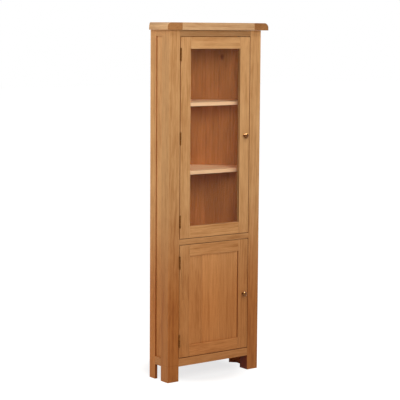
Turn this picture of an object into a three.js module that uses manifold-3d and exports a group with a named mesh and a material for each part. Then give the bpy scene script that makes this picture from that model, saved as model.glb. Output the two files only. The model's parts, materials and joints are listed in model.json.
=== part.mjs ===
// A tall corner display cupboard in light oak, in millimetres, +Z up, front facing -Y.
// The plan is a square front with two short side returns, two walls at 45 degrees and a flat back,
// so that the cupboard sits in the corner of a room. A glazed door is above a panelled door.
// Pieces are placed in a maker's frame whose origin is the front left corner of the carcass on the
// floor, and the finished cupboard is then centred over its own base.
import * as THREE from "three";
import { mergeVertices } from "three/addons/utils/BufferGeometryUtils.js";
import Module from "manifold-3d";

const wasm = await Module();
wasm.setup();

// Overall sizes of the carcass and its top.
const cabinetHeight = 1800;
const carcassWidth = 572;
const sideDepth = 162;
const flatBackWidth = 214;
const topThickness = 37;
const topSideOverhang = 28;
const topFrontOverhang = 26;
const topEndBoardWidth = 90;
const topEdgeRadius = 25;

// Posts, rails and walls.
const footHeight = 76;
const frontFrameThickness = 22;
const wallThickness = 16;
const frontPostWidth = 67;
const frontPostDepth = 62;
const rearPostFlange = 48;
const backPostFlatShare = 1 / 3;
const topRailHeight = 31;
const middleRailHeight = 28;
const bottomRailHeight = 42;
const lowerOpeningHeight = 577;
const sidePanelThickness = 6;
const sidePanelRecess = 7;
const backBoardThickness = 10;
const backBoardBevel = 1.5;
const backBoardsPerWall = 2;

// Floors and shelves.
const floorThickness = 18;
const shelfThickness = 18;
const shelfSetback = 50;
const upperShelfPitch = 344;
const lowerShelfRise = 290;

// Doors.
const doorThickness = 20;
const doorGap = 2.5;
const doorStileWidth = 62;
const doorRailWidth = 59;
const grooveDepth = 7;
const glassThickness = 4;
const glassSetback = 8;
const panelThickness = 8;
const panelSetback = 8;
const panelBoardWidth = 107;
const panelFirstBoard = 82;
const panelVeeWidth = 4;
const panelVeeDepth = 2;

// Knobs.
const knobRadius = 13;
const knobNeckRadius = 4.5;
const knobBaseRadius = 8;
const knobBaseThickness = 2.5;
const knobHeadThickness = 13;
const knobProjection = 24;

// Butt hinges. The pin stands in front of the door, so that the door swings clear of its post.
const hingeHeight = 62;
const hingeEndDistance = 87;
const hingePinProud = 4.5;
const knuckleRadius = 4;
const knucklesPerHinge = 5;
const pinRadius = 1.6;
const pinHeadRadius = 3;
const pinHeadHeight = 1.6;
const leafThickness = 1.5;
const leafWidth = 18;

// Magnetic catches and the steel plates that they hold.
const catchWidth = 44;
const catchDepth = 16;
const catchHeight = 15;
const catchLap = 24;
const strikeWidth = 34;
const strikeHeight = 13;
const strikeThickness = 1.2;
const strikeEndDistance = 6;

// Clearance between pieces that meet, and the overrun of a cut past the face it opens.
const fit = 0.3;
const overrun = 2;

// Counts of sides on round shapes.
const roundSides = 16;
const knobSides = 28;
const arcSteps = 8;
const mergeTolerance = 1e-4;

// Heights and places that follow from the sizes above.
const carcassTop = cabinetHeight - topThickness;
const lowerOpening = [footHeight + bottomRailHeight, footHeight + bottomRailHeight + lowerOpeningHeight];
const upperOpening = [lowerOpening[1] + middleRailHeight, carcassTop - topRailHeight];
const doorOpening = [frontPostWidth, carcassWidth - frontPostWidth];
const backCorner = (carcassWidth - flatBackWidth) / 2;
const carcassDepth = sideDepth + backCorner;
const slantLength = backCorner * Math.SQRT2;
const backBoardWidth = (slantLength - rearPostFlange) / (backBoardsPerWall + 1);
const backPostFlatFlange = flatBackWidth * backPostFlatShare;
const bendShare = Math.tan(Math.PI / 8);
const doorWidth = doorOpening[1] - doorOpening[0] - doorGap - doorGap;

// Finishes.
const finish = (color, roughness, metalness = 0) =>
  new THREE.MeshStandardMaterial({ color, roughness, metalness });
const oak = () => finish(0xc08a55, 0.6);
const innerOak = () => finish(0x9a6238, 0.65);
const shelfOak = () => finish(0xcf9f72, 0.6);
const agedBrass = () => finish(0x8a7440, 0.35, 1);
const bronze = () => finish(0x5a3a26, 0.5, 0.8);
const steel = () => finish(0x9a9a98, 0.4, 1);
const darkPlastic = () => finish(0x4a3020, 0.6);
const clearGlass = () =>
  new THREE.MeshStandardMaterial({ color: 0xe8eeee, roughness: 0.05, transparent: true, opacity: 0.2 });

// A closed geometry as a solid that can be cut and joined, and back.
function solidOf(geometry) {
  const bare = geometry.clone();
  bare.deleteAttribute("normal");
  bare.deleteAttribute("uv");
  const merged = mergeVertices(bare, mergeTolerance);
  const vertProperties = merged.attributes.position.array;
  const triVerts = new Uint32Array(merged.index.array);
  return new wasm.Manifold(new wasm.Mesh({ numProp: 3, vertProperties, triVerts }));
}

function geometryOf(solid) {
  const mesh = solid.getMesh();
  const shared = new THREE.BufferGeometry()
    .setAttribute("position", new THREE.BufferAttribute(mesh.vertProperties, 3))
    .setIndex(new THREE.BufferAttribute(mesh.triVerts, 1));
  const flat = shared.toNonIndexed();
  flat.computeVertexNormals();
  return flat;
}

function cut(geometry, cutters) {
  return geometryOf(cutters.reduce((left, cutter) => left.subtract(solidOf(cutter)), solidOf(geometry)));
}

function join(geometries) {
  const [first, ...others] = geometries.map(solidOf);
  return geometryOf(others.reduce((whole, piece) => whole.add(piece), first));
}

// A block between pairs of low and high coordinates.
function block([x0, x1], [y0, y1], [z0, z1]) {
  return new THREE.BoxGeometry(x1 - x0, y1 - y0, z1 - z0).translate((x0 + x1) / 2, (y0 + y1) / 2, (z0 + z1) / 2);
}

// A plan outline, as a list of [x, y], raised between two heights.
function prism(outline, [z0, z1]) {
  const shape = new THREE.Shape(outline.map(([x, y]) => new THREE.Vector2(x, y)));
  return new THREE.ExtrudeGeometry(shape, { depth: z1 - z0, bevelEnabled: false }).translate(0, 0, z0);
}

// A round bar about the Z axis.
function bar(radius, [z0, z1]) {
  return new THREE.CylinderGeometry(radius, radius, z1 - z0, roundSides)
    .rotateX(Math.PI / 2)
    .translate(0, 0, (z0 + z1) / 2);
}

const mirrored = (outline) => outline.map(([x, y]) => [carcassWidth - x, y]);
const mirroredSpan = ([x0, x1]) => [carcassWidth - x1, carcassWidth - x0];
const inset = ([low, high], amount) => [low + amount, high - amount];

// A point of the left slanting wall: s runs along its outer face from the side return to the back,
// and n goes inwards from that face.
function slantPoint([s, n]) {
  return [(s + n) * Math.SQRT1_2, sideDepth + (s - n) * Math.SQRT1_2];
}

// The same for the flat back wall, with s running along X.
const backPoint = ([s, n]) => [s, carcassDepth - n];

function named(name, geometry, material) {
  const mesh = new THREE.Mesh(geometry, material);
  mesh.name = name;
  return mesh;
}

function groupOf(meshes, x = 0, y = 0, z = 0) {
  const group = new THREE.Group();
  group.add(...meshes);
  group.position.set(x, y, z);
  return group;
}

// Where the hinges of a door are, measured up from the door's lower edge.
const doorHeight = (opening) => opening[1] - opening[0] - doorGap - doorGap;
const upperHingeHeights = [
  hingeEndDistance,
  doorHeight(upperOpening) / 2,
  doorHeight(upperOpening) - hingeEndDistance,
];
const lowerHingeHeights = [hingeEndDistance, doorHeight(lowerOpening) - hingeEndDistance];

// A recess for one hinge leaf in the edge of a post or stile. The edge is at X = 0.
function leafRecess(side, edgeX, z) {
  const depth = leafThickness + fit;
  const across = side < 0 ? [edgeX - depth, edgeX + overrun] : [edgeX - overrun, edgeX + depth];
  const half = hingeHeight / 2 + fit;
  return block(across, [-overrun, leafWidth + fit], [z - half, z + half]);
}

// Front posts are an L in plan over a solid square foot.
function frontPostGeometry() {
  const outline = [
    [0, 0],
    [frontPostWidth, 0],
    [frontPostWidth, frontFrameThickness],
    [wallThickness, frontFrameThickness],
    [wallThickness, frontPostDepth],
    [0, frontPostDepth],
  ];
  const foot = block([0, frontPostWidth], [0, frontPostDepth], [0, footHeight]);
  return { outline, foot };
}

function frontPosts() {
  const { outline, foot } = frontPostGeometry();
  const height = [0, carcassTop - fit];
  const hingeHeights = [
    ...upperHingeHeights.map((z) => upperOpening[0] + doorGap + z),
    ...lowerHingeHeights.map((z) => lowerOpening[0] + doorGap + z),
  ];
  const left = cut(
    join([prism(outline, height), foot]),
    hingeHeights.map((z) => leafRecess(-1, frontPostWidth, z)),
  );
  const rightFoot = block(mirroredSpan([0, frontPostWidth]), [0, frontPostDepth], [0, footHeight]);
  const right = join([prism(mirrored(outline), height), rightFoot]);
  return [named("front_left_post", left, oak()), named("front_right_post", right, oak())];
}

// Rear posts bend from the side return into the slanting wall, and are a foot too.
function rearPosts() {
  const outline = [
    [0, sideDepth - rearPostFlange],
    [0, sideDepth],
    slantPoint([rearPostFlange, 0]),
    slantPoint([rearPostFlange, wallThickness]),
    [wallThickness, sideDepth - wallThickness * bendShare],
    [wallThickness, sideDepth - rearPostFlange],
  ];
  const height = [0, carcassTop - fit];
  return [
    named("rear_left_post", prism(outline, height), oak()),
    named("rear_right_post", prism(mirrored(outline), height), oak()),
  ];
}

// Back posts bend from the slanting wall, where they are as wide as a board, into the flat back. Only
// their flat parts reach the floor.
function backPosts() {
  const flatPart = [
    [backCorner, carcassDepth],
    [backCorner + backPostFlatFlange, carcassDepth],
    [backCorner + backPostFlatFlange, carcassDepth - wallThickness],
    [backCorner + wallThickness * bendShare, carcassDepth - wallThickness],
  ];
  const outline = [
    slantPoint([slantLength - backBoardWidth, 0]),
    ...flatPart,
    slantPoint([slantLength - backBoardWidth, wallThickness]),
  ];
  const top = carcassTop - fit;
  const post = (plan) => join([prism(plan(outline), [footHeight, top]), prism(plan(flatPart), [0, top])]);
  return [
    named("back_left_post", post((points) => points), innerOak()),
    named("back_right_post", post(mirrored), innerOak()),
  ];
}

// A back board in section, with its four long edges bevelled so that each joint shows as a vee.
function boardSection([s0, s1]) {
  const b = backBoardBevel;
  const outer = wallThickness - backBoardThickness;
  const inner = wallThickness;
  return [
    [s0, outer + b],
    [s0 + b, outer],
    [s1 - b, outer],
    [s1, outer + b],
    [s1, inner - b],
    [s1 - b, inner],
    [s0 + b, inner],
    [s0, inner - b],
  ];
}

function backBoards() {
  const height = [footHeight, carcassTop - fit];
  const boards = [];
  for (let i = 0; i < backBoardsPerWall; i += 1) {
    const start = rearPostFlange + i * backBoardWidth;
    const span = inset([start, start + backBoardWidth], fit / 2);
    const outline = boardSection(span).map(slantPoint);
    boards.push(named(`back_left_board_${i + 1}`, prism(outline, height), innerOak()));
    boards.push(named(`back_right_board_${i + 1}`, prism(mirrored(outline), height), innerOak()));
  }
  const flatStart = backCorner + backPostFlatFlange;
  const middle = inset([flatStart, carcassWidth - flatStart], fit);
  boards.push(named("back_centre_board", prism(boardSection(middle).map(backPoint), height), innerOak()));
  return boards;
}

function frontRails() {
  const x = inset(doorOpening, fit);
  const y = [0, frontFrameThickness];
  const heights = {
    top_rail: [upperOpening[1], carcassTop - fit],
    middle_rail: [lowerOpening[1], upperOpening[0]],
    bottom_rail: [footHeight, lowerOpening[0]],
  };
  return Object.entries(heights).map(([name, z]) => named(name, block(x, y, z), oak()));
}

// Each side return is a narrow frame with a recessed panel between the front and rear posts.
function sideFrames() {
  const y = inset([frontPostDepth, sideDepth - rearPostFlange], fit);
  const rail = [0, wallThickness];
  const panel = [sidePanelRecess, sidePanelRecess + sidePanelThickness];
  const pieces = [
    ["side_top_rail", rail, [upperOpening[1], carcassTop - fit]],
    ["side_bottom_rail", rail, [footHeight, lowerOpening[0]]],
    ["side_panel", panel, inset([lowerOpening[0], upperOpening[1]], fit)],
  ];
  return pieces.flatMap(([name, x, z]) => [
    named(`left_${name}`, block(x, y, z), oak()),
    named(`right_${name}`, block(mirroredSpan(x), y, z), oak()),
  ]);
}

// The plan of a board that fills the inside of the carcass behind a given front edge.
function insideOutline(frontEdge) {
  const n = wallThickness + fit;
  const left = [
    [n, frontEdge],
    [n, sideDepth - n * bendShare],
    [backCorner + n * bendShare, carcassDepth - n],
  ];
  return [...left, ...mirrored(left).reverse()];
}

function floorsAndShelves() {
  const middleFloorTop = lowerOpening[1] + floorThickness;
  const behindRails = frontFrameThickness + fit;
  const boards = [
    ["bottom_board", behindRails, lowerOpening[0], floorThickness, oak()],
    ["middle_board", behindRails, middleFloorTop, floorThickness, innerOak()],
    ["lower_shelf", shelfSetback, lowerOpening[0] + lowerShelfRise, shelfThickness, shelfOak()],
    ["upper_shelf_1", shelfSetback, middleFloorTop + upperShelfPitch, shelfThickness, shelfOak()],
    ["upper_shelf_2", shelfSetback, middleFloorTop + upperShelfPitch * 2, shelfThickness, shelfOak()],
  ];
  return boards.map(([name, frontEdge, top, thickness, material]) =>
    named(name, prism(insideOutline(frontEdge), [top - thickness, top]), material),
  );
}

// An end board of the top runs from front to back, with its outer upper edge rounded over.
function topEndGeometry() {
  const x0 = -topSideOverhang;
  const x1 = x0 + topEndBoardWidth;
  const backEnd = sideDepth + x1;
  const section = new THREE.Shape();
  section.moveTo(x1, carcassTop);
  section.lineTo(x1, cabinetHeight);
  section.lineTo(x0 + topEdgeRadius, cabinetHeight);
  section.absarc(x0 + topEdgeRadius, cabinetHeight - topEdgeRadius, topEdgeRadius, Math.PI / 2, Math.PI);
  section.lineTo(x0, carcassTop);
  const length = backEnd + topFrontOverhang;
  const board = new THREE.ExtrudeGeometry(section, {
    depth: length,
    bevelEnabled: false,
    curveSegments: arcSteps,
  });
  board.rotateX(Math.PI / 2).translate(0, backEnd, 0);
  const behindSlant = [
    [x0 - overrun, sideDepth + x0 - overrun],
    [x1 + overrun, backEnd + overrun],
    [x0 - overrun, backEnd + overrun],
  ];
  return cut(board, [prism(behindSlant, [carcassTop - overrun, cabinetHeight + overrun])]);
}

function topBoards() {
  const end = topEndGeometry();
  const x = topEndBoardWidth - topSideOverhang + fit;
  const left = [
    [x, -topFrontOverhang],
    [x, sideDepth + x],
    [backCorner, carcassDepth],
  ];
  const centre = prism([...left, ...mirrored(left).reverse()], [carcassTop, cabinetHeight]);
  const rightEnd = named("top_right_end_board", end, oak());
  rightEnd.scale.x = -1;
  rightEnd.position.x = carcassWidth;
  return [named("top_left_end_board", end, oak()), rightEnd, named("top_centre_board", centre, oak())];
}

// The four members of a door frame in the door's own frame, grooved for what they hold.
function doorFrame(prefix, height, filling, hingeHeights) {
  const y = [0, doorThickness];
  const inside = inset([0, doorWidth], doorStileWidth);
  const grooveX = inset(inside, -grooveDepth);
  const grooveZ = inset([doorRailWidth, height - doorRailWidth], -grooveDepth);
  const groove = block(grooveX, inset(filling, -fit), grooveZ);
  const railX = inset(inside, fit);
  const members = {
    left_stile: block([0, doorStileWidth], y, [0, height]),
    right_stile: block([doorWidth - doorStileWidth, doorWidth], y, [0, height]),
    top_rail: block(railX, y, [height - doorRailWidth, height]),
    bottom_rail: block(railX, y, [0, doorRailWidth]),
  };
  const recesses = hingeHeights.map((z) => leafRecess(1, 0, z));
  const meshes = Object.entries(members).map(([name, geometry]) => {
    const cutters = name === "left_stile" ? [groove, ...recesses] : [groove];
    return named(`${prefix}_${name}`, cut(geometry, cutters), oak());
  });
  return { meshes, x: inset(grooveX, fit), z: inset(grooveZ, fit) };
}

// The panel is a row of matched boards, with a vee on the front face at each joint.
function panelGeometry([x0, x1], [y0, y1], z) {
  const outline = [[x0, y0]];
  for (let joint = doorStileWidth + panelFirstBoard; joint < x1 - panelVeeWidth; joint += panelBoardWidth) {
    outline.push([joint - panelVeeWidth / 2, y0], [joint, y0 + panelVeeDepth], [joint + panelVeeWidth / 2, y0]);
  }
  outline.push([x1, y0], [x1, y1], [x0, y1]);
  return prism(outline, z);
}

// A turned knob on a small round base, with a head that is an ellipse in section.
function knobGeometry() {
  const headCentre = knobProjection - knobHeadThickness / 2;
  const profile = [
    [0, 0],
    [knobBaseRadius, 0],
    [knobBaseRadius, knobBaseThickness],
    [knobNeckRadius, knobBaseThickness * 2],
  ];
  const start = -Math.acos(knobNeckRadius / knobRadius);
  for (let i = 0; i <= arcSteps; i += 1) {
    const angle = start + ((Math.PI / 2 - start) * i) / arcSteps;
    profile.push([knobRadius * Math.cos(angle), headCentre + (knobHeadThickness / 2) * Math.sin(angle)]);
  }
  profile[profile.length - 1][0] = 0;
  const points = profile.map(([r, y]) => new THREE.Vector2(r, y));
  return new THREE.LatheGeometry(points, knobSides).rotateX(Math.PI);
}

function knob(name, height) {
  const mesh = named(name, knobGeometry(), agedBrass());
  mesh.position.set(doorWidth - doorStileWidth / 2, -fit, height / 2);
  return mesh;
}

function strike(name, height) {
  const x = doorWidth - doorStileWidth / 2;
  const y = doorThickness + fit;
  const top = height - strikeEndDistance;
  const plate = block(
    [x - strikeWidth / 2, x + strikeWidth / 2],
    [y, y + strikeThickness],
    [top - strikeHeight, top],
  );
  return named(name, plate, steel());
}

function upperDoor() {
  const height = doorHeight(upperOpening);
  const filling = [glassSetback, glassSetback + glassThickness];
  const frame = doorFrame("upper_door", height, filling, upperHingeHeights);
  const meshes = [
    ...frame.meshes,
    named("upper_door_glass", block(frame.x, filling, frame.z), clearGlass()),
    knob("upper_knob", height),
    strike("upper_strike", height),
  ];
  return groupOf(meshes, doorOpening[0] + doorGap, 0, upperOpening[0] + doorGap);
}

function lowerDoor() {
  const height = doorHeight(lowerOpening);
  const filling = [panelSetback, panelSetback + panelThickness];
  const frame = doorFrame("lower_door", height, filling, lowerHingeHeights);
  const meshes = [
    ...frame.meshes,
    named("lower_door_panel", panelGeometry(frame.x, filling, frame.z), oak()),
    knob("lower_knob", height),
    strike("lower_strike", height),
  ];
  return groupOf(meshes, doorOpening[0] + doorGap, 0, lowerOpening[0] + doorGap);
}

// One leaf of a hinge about its pin on the Z axis. The case leaf has the outer knuckles on side -1,
// and the door leaf has the ones between them on side 1.
function leafGeometry(side) {
  const near = (side * doorGap) / 2;
  const far = near + side * leafThickness;
  const x = [Math.min(near, far), Math.max(near, far)];
  const plate = block(x, [hingePinProud, hingePinProud + leafWidth], [-hingeHeight / 2, hingeHeight / 2]);
  const pitch = hingeHeight / knucklesPerHinge;
  const pieces = [plate];
  for (let i = side < 0 ? 0 : 1; i < knucklesPerHinge; i += 2) {
    const low = -hingeHeight / 2 + i * pitch;
    const z = inset([low, low + pitch], fit / 2);
    pieces.push(bar(knuckleRadius, z), block(x, [0, hingePinProud + fit], z));
  }
  const bore = bar(pinRadius + fit, inset([-hingeHeight / 2, hingeHeight / 2], -overrun));
  return cut(join(pieces), [bore]);
}

// The pin has a flat head at each end, just clear of the knuckles.
function pinGeometry() {
  const end = hingeHeight / 2 + fit;
  const shank = bar(pinRadius, [-end, end]);
  const heads = [bar(pinHeadRadius, [end, end + pinHeadHeight]), bar(pinHeadRadius, [-end - pinHeadHeight, -end])];
  return join([shank, ...heads]);
}

function hinge(prefix, z) {
  const meshes = [
    named(`${prefix}_case_leaf`, leafGeometry(-1), bronze()),
    named(`${prefix}_door_leaf`, leafGeometry(1), bronze()),
    named(`${prefix}_pin`, pinGeometry(), bronze()),
  ];
  return groupOf(meshes, doorOpening[0] + doorGap / 2, -hingePinProud, z);
}

function hinges() {
  const places = [
    ["upper_hinge", upperOpening, upperHingeHeights],
    ["lower_hinge", lowerOpening, lowerHingeHeights],
  ];
  return places.flatMap(([prefix, opening, heights]) =>
    heights.map((z, i) => hinge(`${prefix}_${i + 1}`, opening[0] + doorGap + z)),
  );
}

// The upper catch is fixed to the back of the top rail, and the lower one under the middle board.
function catches() {
  const x = doorOpening[1] - doorGap - doorStileWidth / 2;
  const across = [x - catchWidth / 2, x + catchWidth / 2];
  const y = [frontFrameThickness + fit, frontFrameThickness + fit + catchDepth];
  const upper = block(across, y, [upperOpening[1] - catchLap, upperOpening[1] + catchHeight]);
  const lower = block(across, y, [lowerOpening[1] - catchLap, lowerOpening[1] - fit]);
  return [named("upper_catch", upper, darkPlastic()), named("lower_catch", lower, darkPlastic())];
}

const carcass = [
  ...frontPosts(),
  ...rearPosts(),
  ...backPosts(),
  ...frontRails(),
  ...sideFrames(),
  ...backBoards(),
  ...floorsAndShelves(),
  ...topBoards(),
  ...catches(),
];
const cupboard = groupOf([...carcass, upperDoor(), lowerDoor(), ...hinges()]);
cupboard.position.set(-carcassWidth / 2, (topFrontOverhang - carcassDepth) / 2, 0);

export default cupboard;
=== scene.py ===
# %% [markdown]
# # A corner display cupboard in oak
#
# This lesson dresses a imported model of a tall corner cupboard: a glazed door over a panelled door,
# two short side returns, walls that slant back into a corner of the room, and a thick top with
# rounded ends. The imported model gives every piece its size, its place and the body it moves with.
# What it can't give is how oak looks, how an edge feels after sanding, and how brass and glass
# catch the light. That is made here, one kind of piece at a time.

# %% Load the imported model
import json
import math
import random

import bpy
from mathutils import Matrix, Vector

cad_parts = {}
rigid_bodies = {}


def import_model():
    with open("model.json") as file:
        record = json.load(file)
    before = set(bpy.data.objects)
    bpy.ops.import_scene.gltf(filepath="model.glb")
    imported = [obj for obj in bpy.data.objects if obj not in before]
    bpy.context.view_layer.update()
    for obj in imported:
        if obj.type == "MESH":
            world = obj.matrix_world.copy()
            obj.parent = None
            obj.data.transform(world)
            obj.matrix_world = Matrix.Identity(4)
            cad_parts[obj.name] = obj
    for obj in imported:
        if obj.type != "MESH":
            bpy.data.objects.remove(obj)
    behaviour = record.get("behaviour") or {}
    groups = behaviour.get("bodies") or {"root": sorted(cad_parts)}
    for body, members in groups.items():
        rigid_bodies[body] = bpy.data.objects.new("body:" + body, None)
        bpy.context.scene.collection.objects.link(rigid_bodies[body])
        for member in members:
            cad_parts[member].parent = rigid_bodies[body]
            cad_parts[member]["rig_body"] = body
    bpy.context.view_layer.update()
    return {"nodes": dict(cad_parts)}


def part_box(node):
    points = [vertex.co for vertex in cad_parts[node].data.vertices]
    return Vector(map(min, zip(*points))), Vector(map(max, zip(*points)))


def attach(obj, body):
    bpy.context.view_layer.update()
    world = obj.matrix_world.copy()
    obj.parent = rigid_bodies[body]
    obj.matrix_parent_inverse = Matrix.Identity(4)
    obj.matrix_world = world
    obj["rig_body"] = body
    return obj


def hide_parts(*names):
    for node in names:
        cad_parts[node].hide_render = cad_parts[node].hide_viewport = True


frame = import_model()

scene = bpy.context.scene
scene.view_settings.view_transform = "Standard"

# %% [markdown]
# ## Camera
#
# The picture of this cupboard was taken from its front left, at about the height of its top, with a
# long lens. The camera's place and lens come from fitting the cupboard's known edges to that picture,
# so the perspective is the same. It could be aimed by eye, but an edge of a tall cupboard shows an
# error of half a degree at once. The slight turn about the view axis is the picture's own.

# %% Place the camera
CAMERA_PLACE = (-4.2047, -5.7652, 1.7706)
DEGREES_TURNED, DEGREES_BELOW_LEVEL, DEGREES_ROLLED = -36.245, 6.363, 0.405
camera_data = bpy.data.cameras.new("camera")
camera_data.sensor_width = 36
camera_data.lens = 125.48
camera_data.shift_y = -0.04
camera = bpy.data.objects.new("camera", camera_data)
scene.collection.objects.link(camera)
scene.camera = camera
camera.matrix_world = (
    Matrix.Translation(CAMERA_PLACE)
    @ Matrix.Rotation(math.radians(DEGREES_TURNED), 4, "Z")
    @ Matrix.Rotation(math.radians(90 - DEGREES_BELOW_LEVEL), 4, "X")
    @ Matrix.Rotation(math.radians(DEGREES_ROLLED), 4, "Z")
)
print("camera at", tuple(round(x, 3) for x in camera.location))

# %% [markdown]
# ## Helpers for node trees
#
# A material is a small network of nodes. A few helpers keep the networks readable: they add a node
# and fill its sockets, calculate with numbers, and mix two colours. A socket is filled with a plain
# value or with the output of another node. The same nodes could be placed by hand in the shader
# editor, but a script can be read, and gives the same result each time.

# %% Node helpers
WHITE = (1, 1, 1, 1)


def add(tree, kind, inputs=None, **settings):
    made = tree.nodes.new(kind)
    for key, value in settings.items():
        setattr(made, key, value)
    for key, value in (inputs or {}).items():
        if isinstance(value, bpy.types.NodeSocket):
            tree.links.new(value, made.inputs[key])
        else:
            made.inputs[key].default_value = value
    return made


def calculate(tree, operation, first, second=0.0):
    sockets = {0: first, 1: second}
    return add(tree, "ShaderNodeMath", sockets, operation=operation).outputs[0]


def mixed(tree, share, first, second, kind="MIX"):
    """Mixes two colours, which are inputs 6 and 7 of a mix node. The result is its output 2."""
    sockets = {0: share, 6: first, 7: second}
    return add(tree, "ShaderNodeMix", sockets, data_type="RGBA", blend_type=kind).outputs[2]


def in_range(tree, value, low, high, new_low=0.0, new_high=1.0):
    """Takes a value from one range to another, and stops at the ends."""
    sockets = {0: value, 1: low, 2: high, 3: new_low, 4: new_high}
    return add(tree, "ShaderNodeMapRange", sockets, clamp=True).outputs[0]


def screen_colour(red, green, blue):
    """A colour read off a screen, from 0 to 255, as the linear values that a shader mixes."""
    shares = [part / 255 for part in (red, green, blue)]
    linear = [((s + 0.055) / 1.055) ** 2.4 if s > 0.04 else s / 12.92 for s in shares]
    return (*linear, 1.0)


def new_material(name):
    material = bpy.data.materials.new(name)
    material.use_nodes = True
    tree = material.node_tree
    tree.nodes.clear()
    return material, tree


print("(190, 140, 90) on screen is", [round(part, 3) for part in screen_colour(190, 140, 90)])

# %% [markdown]
# ## Floor
#
# The cupboard stands in a white studio. The floor is a plain plane that is self-lit where the
# camera sees it, so that it ends in pure white. Close to the cupboard the glow is weaker, and the
# lamps add the rest, so a soft shadow stays there. Its paint has two greys: a pale one that sends
# light up to the wood, and a darker one for the camera, because pale paint would give a shadow that
# is too dark beside pure white. Making the lamps brighter would also give a white floor, but it
# would wash out the oak.

# %% Make the floor
PAINT_LIGHTING_WOOD, PAINT_SEEN = (0.88, 0.88, 0.88, 1), (0.3, 0.3, 0.3, 1)
GLOW_BESIDE_CUPBOARD = (0.745, 0.75, 0.757, 1)
GLOW_RISES_FROM, GLOW_FULL_FROM = 0.2, 0.34
FLOOR_SIZE = 60


def seen_directly(tree):
    light = add(tree, "ShaderNodeLightPath").outputs
    seen = calculate(tree, "MAXIMUM", light["Is Camera Ray"], light["Is Glossy Ray"])
    return calculate(tree, "MAXIMUM", seen, light["Is Transmission Ray"])


def length_of(tree, vector):
    return add(tree, "ShaderNodeVectorMath", {0: vector}, operation="LENGTH").outputs["Value"]


def place_on_object(tree):
    return add(tree, "ShaderNodeTexCoord").outputs["Object"]


floor_paint, tree = new_material("pale floor")
seen = seen_directly(tree)
paint_colour = mixed(tree, seen, PAINT_LIGHTING_WOOD, PAINT_SEEN)
matt = add(tree, "ShaderNodeBsdfDiffuse", {"Color": paint_colour})
distance = length_of(tree, place_on_object(tree))
away = in_range(tree, distance, GLOW_RISES_FROM, GLOW_FULL_FROM)
glow_colour = mixed(tree, away, GLOW_BESIDE_CUPBOARD, WHITE)
glow = add(tree, "ShaderNodeEmission", {"Color": glow_colour, "Strength": seen})
both = add(tree, "ShaderNodeAddShader", {0: matt.outputs[0], 1: glow.outputs[0]})
add(tree, "ShaderNodeOutputMaterial", {"Surface": both.outputs[0]})

bpy.ops.mesh.primitive_plane_add(size=FLOOR_SIZE, location=(0, 0, 0))
floor = bpy.context.object
floor.name = "floor"
floor.data.materials.append(floor_paint)
print("floor is", FLOOR_SIZE, "metres wide")

# %% [markdown]
# ## Background
#
# The world stands for white walls far behind the cupboard. It is white where the camera, a
# reflection or the glass sees it, and very weak where it lights the wood. A world that is as bright
# for the wood would light it from all sides, and its recesses would lose their shade.

# %% Make the world
WEAK_LIGHT, WEAK_STRENGTH = (1.0, 0.98, 0.95, 1), 0.03
world = bpy.data.worlds.new("white studio")
scene.world = world
world.use_nodes = True
tree = world.node_tree
tree.nodes.clear()
white = add(tree, "ShaderNodeBackground", {"Color": WHITE, "Strength": 1.0})
weak = add(tree, "ShaderNodeBackground", {"Color": WEAK_LIGHT, "Strength": WEAK_STRENGTH})
sockets = {0: seen_directly(tree), 1: weak.outputs[0], 2: white.outputs[0]}
both = add(tree, "ShaderNodeMixShader", sockets)
add(tree, "ShaderNodeOutputWorld", {"Surface": both.outputs[0]})
print("the world lights the wood at strength", WEAK_STRENGTH)

# %% [markdown]
# ## Lamps
#
# The picture's light is read from its shadows. The front edge of a rear foot is dark although the
# front rail is bright, so the light on the front comes from straight ahead and the front feet stand
# in its way. The side return is as bright as the front, so a second lamp stands to the left and a
# little behind. A third hangs high in front and lights the shelves. The fourth is smaller and
# nearer, and gives the top its narrow shadow. One lamp at the camera would light everything, but it
# would fill the recesses.
#
# Each brass knob has one bright spot near its top and none in the middle. So the two lamps in front
# are left out of reflections, and a fifth, large and strong lamp overhead lights only the pieces in
# its own collection. The knobs go into it later. On the wood it would leave a white glare.

# %% Hang the lamps
WARM, WARMER, COOL = (1.0, 0.97, 0.9), (1.0, 0.92, 0.76), (0.7, 0.92, 1.0)
MIDDLE, NEAR_THE_KNOBS = (0, 0, 1.2), (0.2, -0.2, 1.2)


def soft_lamp(name, place, aim, size, power, colour, mirrored=True):
    data = bpy.data.lights.new(name, "AREA")
    data.shape = "SQUARE"
    data.size = size
    data.energy = power
    data.color = colour
    lamp = bpy.data.objects.new(name, data)
    scene.collection.objects.link(lamp)
    lamp.location = place
    lamp.visible_glossy = mirrored
    lamp.rotation_euler = (Vector(aim) - Vector(place)).to_track_quat("-Z", "Y").to_euler()
    return lamp


soft_lamp("front_lamp", (0.6, -4.2, 2.4), MIDDLE, size=1.4, power=35, colour=WARM, mirrored=False)
soft_lamp("side_lamp", (-3.0, 1.8, 2.3), MIDDLE, size=1.8, power=57, colour=WARMER)
soft_lamp("top_lamp", (-0.3, -2.6, 4.6), MIDDLE, size=1.2, power=44, colour=WARM)
soft_lamp("near_lamp", (-1.6, -2.6, 2.2), MIDDLE, size=1.2, power=42.5, colour=WARM, mirrored=False)
gleam_lamp = soft_lamp(
    "gleam_lamp", (0.9, -1.2, 4.4), NEAR_THE_KNOBS, size=3.0, power=1200, colour=COOL
)
lit_by_gleam_lamp = bpy.data.collections.new("lit by gleam lamp")
gleam_lamp.light_linking.receiver_collection = lit_by_gleam_lamp

# %% [markdown]
# ## The figure of oak
#
# Oak shows growth rings drawn out along the board, broad streaks of lighter and darker wood between
# them, and short dark pores. All three are patterns in the solid wood, so a face that cuts across
# the board shows the same rings end on. An image of wood could be pasted on each face, but it would
# not meet at the corners. Here one node group makes the figure in three dimensions, with the grain
# along its Z axis, and every oak material uses it. First come its sockets: what each material tells
# it.

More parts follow.
